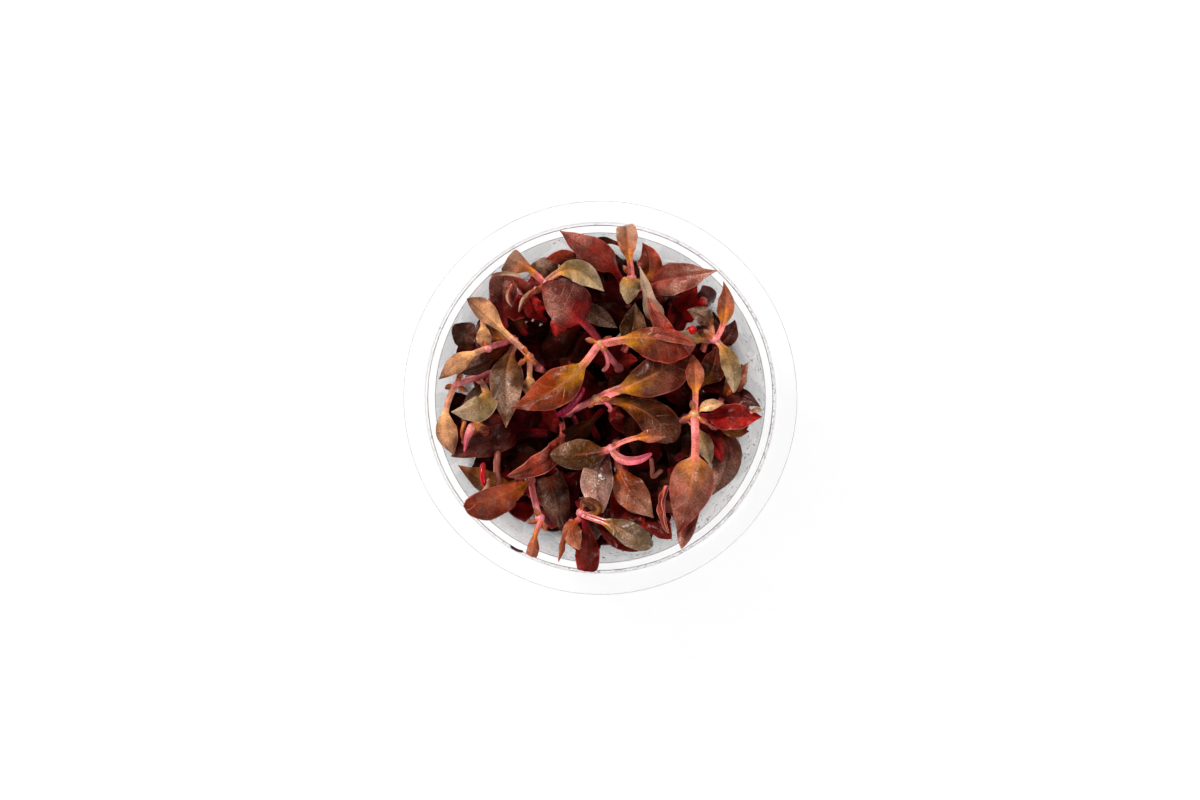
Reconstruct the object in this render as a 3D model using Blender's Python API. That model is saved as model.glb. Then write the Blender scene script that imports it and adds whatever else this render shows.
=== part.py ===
"""Alternanthera reineckii plantlets in a clear tissue-culture cup: the cup, its gel, twelve stems and their leaves.

The origin is on the surface under the middle of the cup, with +Z up. Hand-set points are in millimetres.
"""

import math

import bpy
import bmesh
from mathutils import Quaternion, Vector

MM = 0.001
GAP = 0.3 * MM  # between pieces that touch

# Cup
CUP_HEIGHT = 55 * MM
FLANGE_RADIUS = 50 * MM
FLANGE_THICKNESS = 1.0 * MM
COLLAR_DEPTH = 8 * MM
COLLAR_TOP_RADIUS = 44.2 * MM  # inside
COLLAR_FOOT_RADIUS = 43.2 * MM  # inside
LEDGE_WIDTH = 0.8 * MM
FOOT_RADIUS = 36.2 * MM  # inside, at the bottom
WALL = 0.7 * MM
FLOOR_HEIGHT = 2.0 * MM
FOOT_RING_HEIGHT = 1.2 * MM
FOOT_RING_WIDTH = 1.6 * MM
ROUND_SIDES = 40

# Gel
GEL_HEIGHT = 9 * MM  # its top, above the surface that the cup stands on

# Stems
STEM_RADIUS = 0.85 * MM
NODE_RADIUS = 1.3 * MM
STEM_POINTS = 9

# Leaves
LEAF_THICKNESS = 0.45 * MM
PETIOLE_WIDTH = 1.5 * MM
BLADE = ((0.13, 0.52), (0.32, 0.95), (0.52, 1.0), (0.72, 0.68), (0.88, 0.32), (1.0, 0.05))
ACROSS = (-1, -0.5, 0, 0.5, 1)

COLOURS = {
    "copper": (0.33, 0.09, 0.035),
    "tan": (0.42, 0.20, 0.08),
    "orange": (0.45, 0.15, 0.04),
    "olive": (0.16, 0.11, 0.045),
    "grey_green": (0.18, 0.16, 0.10),
    "brown": (0.17, 0.045, 0.025),
    "maroon": (0.08, 0.015, 0.018),
    "crimson": (0.26, 0.012, 0.03),
    "brick": (0.27, 0.04, 0.025),
    "rose": (0.30, 0.09, 0.08),
    "mauve": (0.20, 0.07, 0.07),
    "coral": (0.50, 0.10, 0.09),
}

# Each stem: its foot on the gel, a point on its way and its top node
STEMS = {
    "back_centre": ((14, 1), (6, 6.5, 34), (-0.3, 14, 49)),
    "centre": ((-15, -8), (-9, -4.2, 34), (-0.8, -0.2, 45.5)),
    "left_inner": ((-12, 4), (-15.5, 7.5, 32), (-18.4, 10.5, 47)),
    "back_left": ((-7, 17), (-10.5, 23, 30), (-14, 29.7, 47)),
    "left_outer": ((-19, 6.5), (-28, 6.5, 38), (-37.3, 3.4, 45)),
    "left_upper": ((-17, 15), (-23, 15, 36), (-29.3, 12.7, 46)),
    "right": ((18, -7), (21, -6, 30), (24, -4.2, 51)),
    "right_back": ((20, 11), (26, 14, 28), (29.5, 15, 49)),
    "front": ((-2, -20), (-4, -26, 28), (-5, -29.7, 45)),
    "front_centre": ((6, -9), (4.5, -11.5, 30), (2.7, -13.2, 46)),
    "front_left": ((-13, -13), (-18, -21.5, 36), (-15.4, -31.3, 46)),
    "back": ((5, 20), (7.5, 25.5, 32), (8, 31, 47)),
}

# Each leaf: its stem, how far up the stem it grows, a point on its midrib, its tip, its width,
# the share of its length that is stalk, the fold along its midrib, its roll to one side and its colour
LEAVES = {
    "copper_centre": ("back_centre", 1, (-9, 4, 51.5), (-22.8, -2.6, 49.5), 9.5, 0.22, 14, 0, "copper"),
    "brown_upper": ("back_centre", 1, (10, 14.8, 54), (24.2, 13.3, 52.8), 9, 0.26, 12, 0, "brown"),
    "rose_back": ("back_centre", 1, (-5.5, 21.5, 51), (-14.5, 28.5, 50.8), 11, 0.35, 14, 0, "rose"),
    "brown_lower": ("centre", 1, (9, 5, 48.5), (23.3, 11.3, 48), 10, 0.22, 12, 0, "brown"),
    "olive_right": ("centre", 0.93, (10, -2, 44.5), (18.7, -11, 44.5), 9.5, 0.22, 10, 0, "olive"),
    "maroon_left": ("centre", 0.35, (-29, -12, 42), (-38.2, -15, 47.8), 8, 0.4, 10, 0, "maroon"),
    "coral_ribbon": ("centre", 0.55, (-14.5, -13, 45), (-23.8, -19.7, 52.8), 5, 0.3, 35, 20, "coral"),
    "tan_back_left": ("left_inner", 1, (-27, 19.5, 50), (-34, 25.3, 50.5), 6.5, 0.3, 14, 0, "tan"),
    "tan_small": ("left_inner", 1, (-17.8, 5, 45.5), (-18.7, 0, 44), 4, 0.3, 10, 0, "tan"),
    "orange_wall": ("back_left", 1, (-19, 33, 49), (-24, 35, 49.5), 6.5, 0.25, 14, 0, "orange"),
    "grey_green_back": ("back_left", 1, (-7, 32, 52.6), (0.9, 27.2, 51.8), 5.5, 0.3, 12, 0, "grey_green"),
    "tan_middle": ("back_left", 0.6, (-1, 21, 42), (4.4, 18.1, 41), 4.5, 0.4, 12, 0, "tan"),
    "tan_left_wall": ("left_outer", 1, (-39, -5, 49.5), (-37.5, -14.7, 48.5), 5.5, 0.4, 14, 0, "tan"),
    "olive_left_small": ("left_outer", 0.7, (-31, 0.5, 44), (-35.8, -6.8, 44), 5, 0.3, 12, 0, "olive"),
    "tan_left_tip": ("left_upper", 1, (-33.5, 10.5, 49.5), (-41.2, 4.8, 50), 5.5, 0.2, 14, 0, "tan"),
    "purple_left": ("left_upper", 0.75, (-30, 9, 45.5), (-37.3, 6.4, 47.6), 4, 0.3, 12, 0, "mauve"),
    "grey_green_left": ("left_upper", 0.62, (-23.3, 4, 47.8), (-24.2, -7.6, 47.5), 9.3, 0.25, 12, 0, "grey_green"),
    "big_right": ("right", 1, (23.2, -20, 54), (19.5, -34.5, 54.5), 11.5, 0.3, 16, 0, "rose"),
    "coral_right": ("right", 1, (24.3, 5, 51.5), (23.6, 11, 50.4), 4.5, 0.35, 14, 0, "coral"),
    "cream_right": ("right", 0.95, (28, -2, 51.5), (31.5, -1.4, 51.5), 2.8, 0.3, 12, 0, "tan"),
    "crimson_right": ("right", 0.8, (34, -4.5, 49.5), (41.3, -4.9, 49.8), 7.5, 0.3, 14, 0, "crimson"),
    "mauve_right": ("right", 0.55, (32.5, -13.5, 42), (29, -25, 42), 8, 0.35, 12, 0, "mauve"),
    "olive_right_small": ("right", 0.75, (27, -12, 46), (28.3, -17.3, 45), 4, 0.4, 12, 0, "olive"),
    "copper_under_right": ("right", 0.35, (23.2, -24, 47), (20.6, -38.4, 53.2), 4.5, 0.4, 12, 0, "copper"),
    "copper_right_back": ("right_back", 1, (32.3, 21.5, 52), (31.3, 29.5, 53), 4.5, 0.3, 14, 0, "copper"),
    "tan_right": ("right_back", 1, (32.8, 10, 49), (34.2, 1.3, 48), 5, 0.3, 14, 0, "tan"),
    "silver_right_small": ("right_back", 0.85, (24.5, 15, 46.5), (20, 17, 47), 3, 0.4, 12, 0, "tan"),
    "folded_right_back": ("right_back", 0.9, (26.5, 20.5, 47), (22.3, 22.5, 48), 4.5, 0.3, 30, 0, "brown"),
    "crimson_back": ("right_back", 0.45, (22, 22.5, 42), (25, 29.5, 44), 7, 0.4, 12, 0, "crimson"),
    "silver_twisted": ("right_back", 0.3, (15.5, 19.5, 45), (10, 33.5, 53.5), 4.4, 0.45, 12, 30, "tan"),
    "brick_back_left": ("back", 0.55, (0.5, 34, 47.5), (-10.2, 42.3, 56.5), 7.5, 0.4, 12, 0, "brick"),
    "orange_back": ("back", 1, (7.7, 37, 52), (6.3, 43.6, 56.6), 5.4, 0.3, 14, 0, "orange"),
    "tan_heart": ("back", 1, (7.4, 27.5, 49.5), (7, 24, 49), 5.3, 0.15, 14, 0, "tan"),
    "brick_back_right": ("back", 0.9, (13.2, 33, 49), (10.8, 39.5, 50.5), 6, 0.25, 12, 0, "brick"),
    "rose_back_right": ("back", 0.8, (19, 30, 52.5), (29.6, 32.2, 56.5), 8, 0.3, 12, 0, "rose"),
    "olive_front": ("front", 1, (4, -33.7, 49), (13.3, -38, 49), 6, 0.3, 12, 0, "olive"),
    "red_lobed": ("front", 0.93, (-3, -37, 50), (-3.8, -43.9, 56.5), 6, 0.3, 12, 0, "brick"),
    "olive_oval": ("front_centre", 1, (-5, -14.5, 48), (-12.8, -14.7, 48), 8, 0.2, 12, 0, "olive"),
    "grey_brown_wet": ("front_centre", 0.9, (-0.8, -20.5, 46.5), (0.6, -29.5, 46), 8, 0.2, 12, 0, "mauve"),
    "amber_front": ("front_centre", 1, (8, -10.2, 48.5), (16.9, -10, 48), 3.5, 0.45, 12, 0, "orange"),
    "brown_front": ("front_centre", 0.78, (7.5, -22, 44), (13.7, -30.9, 44.5), 8.5, 0.3, 12, 0, "brown"),
    "dark_front_right": ("front_centre", 0.5, (12, -28, 39), (18.6, -36.8, 48), 5, 0.4, 12, 0, "crimson"),
    "copper_front_left": ("front_left", 0.6, (-25, -25, 53), (-34.6, -27.2, 56.6), 9, 0.25, 14, 0, "copper"),
    "olive_wall_left": ("front_left", 0.5, (-29, -21, 45), (-36.4, -17.3, 47.8), 5, 0.4, 12, 0, "olive"),
    "dark_olive_front": ("front_left", 0.3, (-11.6, -26, 41), (-9.3, -35.5, 43.5), 8, 0.3, 12, 0, "olive"),
    "orange_front_left": ("front_left", 1, (-16, -35, 51), (-17.5, -40.2, 56.4), 3, 0.3, 12, 0, "orange"),
}


def clear_scene():
    for obj in list(bpy.data.objects):
        bpy.data.objects.remove(obj)


def in_mm(point):
    return Vector(point) * MM


def material(name, colour, roughness=0.45, alpha=1.0):
    """A plain Principled material."""
    made = bpy.data.materials.new(name)
    made.use_nodes = True
    shader = made.node_tree.nodes["Principled BSDF"]
    shader.inputs["Base Color"].default_value = (*colour, 1)
    shader.inputs["Roughness"].default_value = roughness
    shader.inputs["Metallic"].default_value = 0
    shader.inputs["Alpha"].default_value = alpha
    made.diffuse_color = (*colour, alpha)
    return made


def add_object(name, data, look):
    obj = bpy.data.objects.new(name, data)
    data.materials.append(look)
    bpy.context.scene.collection.objects.link(obj)
    return obj


def inside_radius(height):
    """The cup's inside radius at a height under the ledge."""
    ledge_radius = COLLAR_FOOT_RADIUS - LEDGE_WIDTH
    ledge_height = CUP_HEIGHT - COLLAR_DEPTH
    share = (height - FLOOR_HEIGHT) / (ledge_height - FLOOR_HEIGHT)
    return FOOT_RADIUS + share * (ledge_radius - FOOT_RADIUS)


def cup_profile():
    """The cup's section as (radius, height), from the middle of its underside round to the middle of its floor."""
    ledge = CUP_HEIGHT - COLLAR_DEPTH
    ring_outside = FOOT_RADIUS + 0.4 * MM
    return (
        (0, FOOT_RING_HEIGHT),
        (ring_outside - FOOT_RING_WIDTH - 0.8 * MM, FOOT_RING_HEIGHT),
        (ring_outside - FOOT_RING_WIDTH, 0),
        (ring_outside, 0),
        (FOOT_RADIUS + WALL, 0.8 * MM),
        (inside_radius(ledge) + WALL, ledge - WALL),
        (COLLAR_FOOT_RADIUS + WALL, ledge - 0.4 * MM),
        (COLLAR_TOP_RADIUS + WALL, CUP_HEIGHT - FLANGE_THICKNESS - 0.8 * MM),
        (COLLAR_TOP_RADIUS + 1.7 * MM, CUP_HEIGHT - FLANGE_THICKNESS),
        (FLANGE_RADIUS, CUP_HEIGHT - FLANGE_THICKNESS),
        (FLANGE_RADIUS, CUP_HEIGHT - 0.2 * MM),
        (FLANGE_RADIUS - 0.3 * MM, CUP_HEIGHT),
        (COLLAR_TOP_RADIUS + 1.2 * MM, CUP_HEIGHT),
        (COLLAR_TOP_RADIUS, CUP_HEIGHT - 0.9 * MM),
        (COLLAR_FOOT_RADIUS, ledge + 0.9 * MM),
        (inside_radius(ledge), ledge),
        (FOOT_RADIUS, FLOOR_HEIGHT + 1 * MM),
        (FOOT_RADIUS - 1 * MM, FLOOR_HEIGHT),
        (0, FLOOR_HEIGHT),
    )


def make_cup():
    mesh = bpy.data.meshes.new("cup")
    shape = bmesh.new()
    points = [shape.verts.new((radius, 0, height)) for radius, height in cup_profile()]
    edges = [shape.edges.new(pair) for pair in zip(points, points[1:])]
    bmesh.ops.spin(
        shape,
        geom=points + edges,
        axis=(0, 0, 1),
        angle=math.tau,
        steps=ROUND_SIDES,
        use_merge=True,
    )
    bmesh.ops.remove_doubles(shape, verts=shape.verts, dist=0.001 * MM)
    bmesh.ops.recalc_face_normals(shape, faces=shape.faces)
    shape.to_mesh(mesh)
    shape.free()
    add_object("cup", mesh, material("clear_plastic", (0.9, 0.92, 0.93), 0.08, alpha=0.3))


def make_gel():
    bottom = FLOOR_HEIGHT + GAP
    mesh = bpy.data.meshes.new("nutrient_gel")
    shape = bmesh.new()
    bmesh.ops.create_cone(
        shape,
        cap_ends=True,
        segments=ROUND_SIDES,
        radius1=inside_radius(bottom) - 1.6 * MM,
        radius2=inside_radius(GEL_HEIGHT) - 2 * GAP,
        depth=GEL_HEIGHT - bottom,
    )
    shape.to_mesh(mesh)
    shape.free()
    gel = add_object("nutrient_gel", mesh, material("gel", (0.75, 0.62, 0.55), 0.25, alpha=0.6))
    gel.location.z = (GEL_HEIGHT + bottom) / 2


def curve_through(start, middle, end):
    """A smooth curve as a function of 0 to 1 that passes the middle point in proportion to the distances."""
    share = (middle - start).length / ((middle - start).length + (end - middle).length)
    left, right = 1 - share, share
    control = (middle - start * left**2 - end * right**2) / (2 * left * right)
    return lambda t: start * (1 - t) ** 2 + control * 2 * t * (1 - t) + end * t**2


def stem_curve(name):
    foot, middle, top = STEMS[name]
    start = in_mm((*foot, 0))
    start.z = GEL_HEIGHT + GAP
    return curve_through(start, in_mm(middle), in_mm(top))


def make_stem(name, look):
    """A tube with a swelling at its top node."""
    curve = bpy.data.curves.new("stem_" + name, "CURVE")
    curve.dimensions = "3D"
    curve.bevel_depth = STEM_RADIUS
    curve.bevel_resolution = 1
    curve.use_fill_caps = True
    route = stem_curve(name)
    steps = [i / (STEM_POINTS - 3) * 0.95 for i in range(STEM_POINTS - 2)] + [0.975, 1]
    spline = curve.splines.new("POLY")
    spline.points.add(len(steps) - 1)
    for point, step in zip(spline.points, steps):
        point.co = (*route(step), 1)
    spline.points[-2].radius = NODE_RADIUS / STEM_RADIUS
    spline.points[-1].radius = 0.9
    add_object("stem_" + name, curve, look)


def leaf_stations(petiole):
    """(share of the length, share of the blade's width or None on the stalk) from the base to the tip."""
    blade = [(petiole + (1 - petiole) * share, width) for share, width in BLADE]
    return [(0, None), (petiole, None)] + blade


def leaf_root(stem, up, towards):
    """Where a leaf's stalk starts: just clear of its stem, on the side that faces the leaf."""
    route = stem_curve(stem)
    root = route(up)
    away = (towards - root).normalized()
    if up == 1:
        return root + away * (NODE_RADIUS + LEAF_THICKNESS / 2 + GAP)
    along = (route(up) - route(up - 0.02)).normalized()
    outward = (away - along * away.dot(along)).normalized()
    radius = NODE_RADIUS if up > 0.9 else STEM_RADIUS
    return root + outward * (radius + LEAF_THICKNESS + GAP)


def make_leaf(name, look):
    stem, up, middle, tip, width, petiole, fold, roll, _ = LEAVES[name]
    midrib = curve_through(leaf_root(stem, up, in_mm(middle)), in_mm(middle), in_mm(tip))
    shape = bmesh.new()
    rings = []
    for station, share in leaf_stations(petiole):
        half = PETIOLE_WIDTH / 2 if share is None else max(share * width * MM, 0.4 * MM) / 2
        ahead = (midrib(station + 0.01) - midrib(station - 0.01)).normalized()
        side = ahead.cross(Vector((0, 0, 1))).normalized()
        side.rotate(Quaternion(ahead, math.radians(roll)))
        rise = side.cross(ahead) * math.tan(math.radians(fold))
        rings.append(
            [shape.verts.new(midrib(station) + half * (a * side + abs(a) * rise)) for a in ACROSS]
        )
    for low, high in zip(rings, rings[1:]):
        for i in range(len(ACROSS) - 1):
            shape.faces.new((low[i], low[i + 1], high[i + 1], high[i]))
    mesh = bpy.data.meshes.new("leaf_" + name)
    shape.to_mesh(mesh)
    shape.free()
    leaf = add_object("leaf_" + name, mesh, look)
    thickness = leaf.modifiers.new("Thickness", "SOLIDIFY")
    thickness.thickness = LEAF_THICKNESS
    thickness.offset = 0


def main():
    clear_scene()
    make_cup()
    make_gel()
    stem_look = material("stem", (0.55, 0.09, 0.12), 0.4)
    for name in STEMS:
        make_stem(name, stem_look)
    looks = {name: material("leaf_" + name, colour) for name, colour in COLOURS.items()}
    for name, row in LEAVES.items():
        make_leaf(name, looks[row[-1]])


main()
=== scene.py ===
"""The looks of the Alternanthera reineckii cup: leaves, stems, gel, cup, drops, floor, light and camera.

The points given here are in millimetres in the frame of the CAD: +Z up, origin under the middle of the cup.
"""

import math
import random
from dataclasses import dataclass
from functools import cache

import bpy
import numpy as np
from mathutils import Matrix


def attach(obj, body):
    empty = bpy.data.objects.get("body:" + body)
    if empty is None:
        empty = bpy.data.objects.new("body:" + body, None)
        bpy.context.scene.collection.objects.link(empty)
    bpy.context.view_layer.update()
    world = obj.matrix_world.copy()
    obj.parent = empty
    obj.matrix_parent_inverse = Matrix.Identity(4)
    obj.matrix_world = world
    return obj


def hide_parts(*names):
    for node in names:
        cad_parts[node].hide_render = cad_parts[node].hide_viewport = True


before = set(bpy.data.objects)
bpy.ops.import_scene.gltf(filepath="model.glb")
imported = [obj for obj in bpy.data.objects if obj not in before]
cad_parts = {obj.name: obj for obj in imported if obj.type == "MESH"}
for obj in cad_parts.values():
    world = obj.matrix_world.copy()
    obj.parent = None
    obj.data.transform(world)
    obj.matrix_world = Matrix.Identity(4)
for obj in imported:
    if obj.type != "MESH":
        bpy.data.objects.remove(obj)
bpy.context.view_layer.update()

MM = 0.001
UP = np.array((0.0, 0.0, 1.0))
WHITE = (1, 1, 1)

# Cup and gel, as in the CAD but for the wall, thinner here, and the collar with its ledge, wider here
CUP_HEIGHT = 55
FLANGE_RADIUS = 50
FLANGE_THICKNESS = 1.0
COLLAR_DEPTH = 8
COLLAR_TOP_RADIUS = 44.7
COLLAR_FOOT_RADIUS = 44.2
LEDGE_WIDTH = 1.8
LEDGE_HEIGHT = CUP_HEIGHT - COLLAR_DEPTH
FOOT_RADIUS = 36.2
WALL = 0.3
FLOOR_HEIGHT = 2.0
FOOT_RING_HEIGHT = 1.2
FOOT_RING_WIDTH = 1.6
GEL_HEIGHT = 9.0
ROUND_SIDES = 144

# Condensation, in two belts of drops
COLLAR_DROPS = 650
COLLAR_DROP_HEIGHTS = (48.5, 53.5)
COLLAR_SLOPE = (47.9, 54.1)  # the heights where it is narrowest and widest for the drops
WALL_DROPS = 650
WALL_DROP_HEIGHTS = (30, 46)
DROPS_HEADING = math.radians(-35)
DROPS_SPREAD = math.radians(55)
DROP_LEAST, DROP_MEAN, DROP_MOST = 0.1, 0.1, 0.36
DROP_FLATNESS = 0.6
DROP_SINK = 0.02

# Camera
CAMERA_ABOVE_RIM = 719
CAMERA_LENS = 85
CAMERA_PLACE = (-0.08, -0.56)

# Light and floor, with lengths in metres and powers in watts
FLOOR_SIZE = 6
FLOOR_GLOW = 0.7
TENT_HEIGHTS = (0.05, 0.55)
TENT_GLOWS = (1.5, 0.12)
LAMP_SIZE = 0.4
LAMP_AIM = (0, 0, 0.04)
LAMPS = {
    "key_light": ((-0.7, 0.7, 0.9), 13.5),
    "right_light": ((0.9, -0.1, 0.9), 4),
    "front_light": ((-0.2, -0.9, 0.9), 3),
}

# Leaves
BLADE_THICKNESS = 0.28
BLADE_STARTS = 0.25  # in the UVs
STALK_WIDTH = 1.95
STALK_FADES = 0.6
LEAST_HALF_WIDTH = 0.05
FULL_BLADE = (0.5, 2.5)
SIDE_VEINS = 7
VEIN_SLANT = 1.4
VEIN_DEPTH = 0.12
GROOVE_DEPTH = 0.18
GROOVE_WIDTH = 0.4
EDGE_JAG = 0.05
JAG_SIZE = 6
CREASE_HEIGHT = 0.55
CREASE_SIZE = 9
RIB_END = 0.95
MIDRIB_END_RADIUS = 0.1
ROOT_SWELLS = (1.5, 1.2)
TUBE_DOME = 0.45
SWAY = 0.05
WALL_GAP = 0.5
LEAFLET_LENGTHS = (1.6, 3.2)
LEAFLET_WIDTH = 1.3

# Stems, as in the CAD but for their nodes, which are a little thicker
STEM_RADIUS = 0.85
NODE_RADIUS = 1.35
STEM_NODES = (0.35, 0.68, 0.985)  # shares of the stem's length
NODE_REACH = 0.016
STEM_ROWS = 70


@dataclass
class Leaf:
    """One leaf, which grows from a stem, up that share of its length, or from a point of its own.

    Its midrib runs from there through middle to tip, and stalk is the share of it before the blade. fold,
    roll and twist are in degrees. bend curls the two halves of the blade, in radians. wave and waves are
    the height and number of the waves along its edges. shape says how the width rises and falls, halves
    how wide each half is, and pale, 1 or -1, which half is painted lighter, as light on the fold; the other
    half is painted darker, as shade.
    """

    root: object
    middle: tuple
    tip: tuple
    width: float
    look: str
    stalk: float = 0.2
    fold: float = 24
    roll: float = 0
    twist: float = 0
    up: float = 1
    bend: tuple = (-1.0, -1.0)
    wave: float = 0.85
    waves: float = 2.5
    shape: tuple = (1.15, 1.3)
    halves: tuple = (1, 1)
    pale: int = 1


# Each stem: its foot on the gel, a point on its way and its top node, as in the CAD
STEMS = {
    "back_centre": ((14, 1, 8.5), (6, 6.5, 34), (-0.3, 14, 49)),
    "centre": ((-15, -8, 8.5), (-9, -4.2, 34), (-0.8, -0.2, 45.5)),
    "left_inner": ((-12, 4, 8.5), (-15.5, 7.5, 32), (-18.4, 10.5, 47)),
    "back_left": ((-7, 17, 8.5), (-10.5, 23, 30), (-14, 29.7, 47)),
    "left_outer": ((-19, 6.5, 8.5), (-28, 6.5, 38), (-37.3, 3.4, 45)),
    "left_upper": ((-17, 15, 8.5), (-23, 15, 36), (-29.3, 12.7, 46)),
    "right": ((18, -7, 8.5), (21, -6, 30), (24, -4.2, 51)),
    "right_back": ((20, 11, 8.5), (26, 14, 28), (29.5, 15, 49)),
    "front": ((-2, -20, 8.5), (-4, -26, 28), (-5, -29.7, 45)),
    "front_centre": ((6, -9, 8.5), (4.5, -11.5, 30), (2.7, -13.2, 46)),
    "front_left": ((-13, -13, 8.5), (-18, -21.5, 36), (-15.4, -31.3, 46)),
    "back": ((5, 20, 8.5), (7.5, 25.5, 32), (8, 31, 47)),
}

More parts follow.
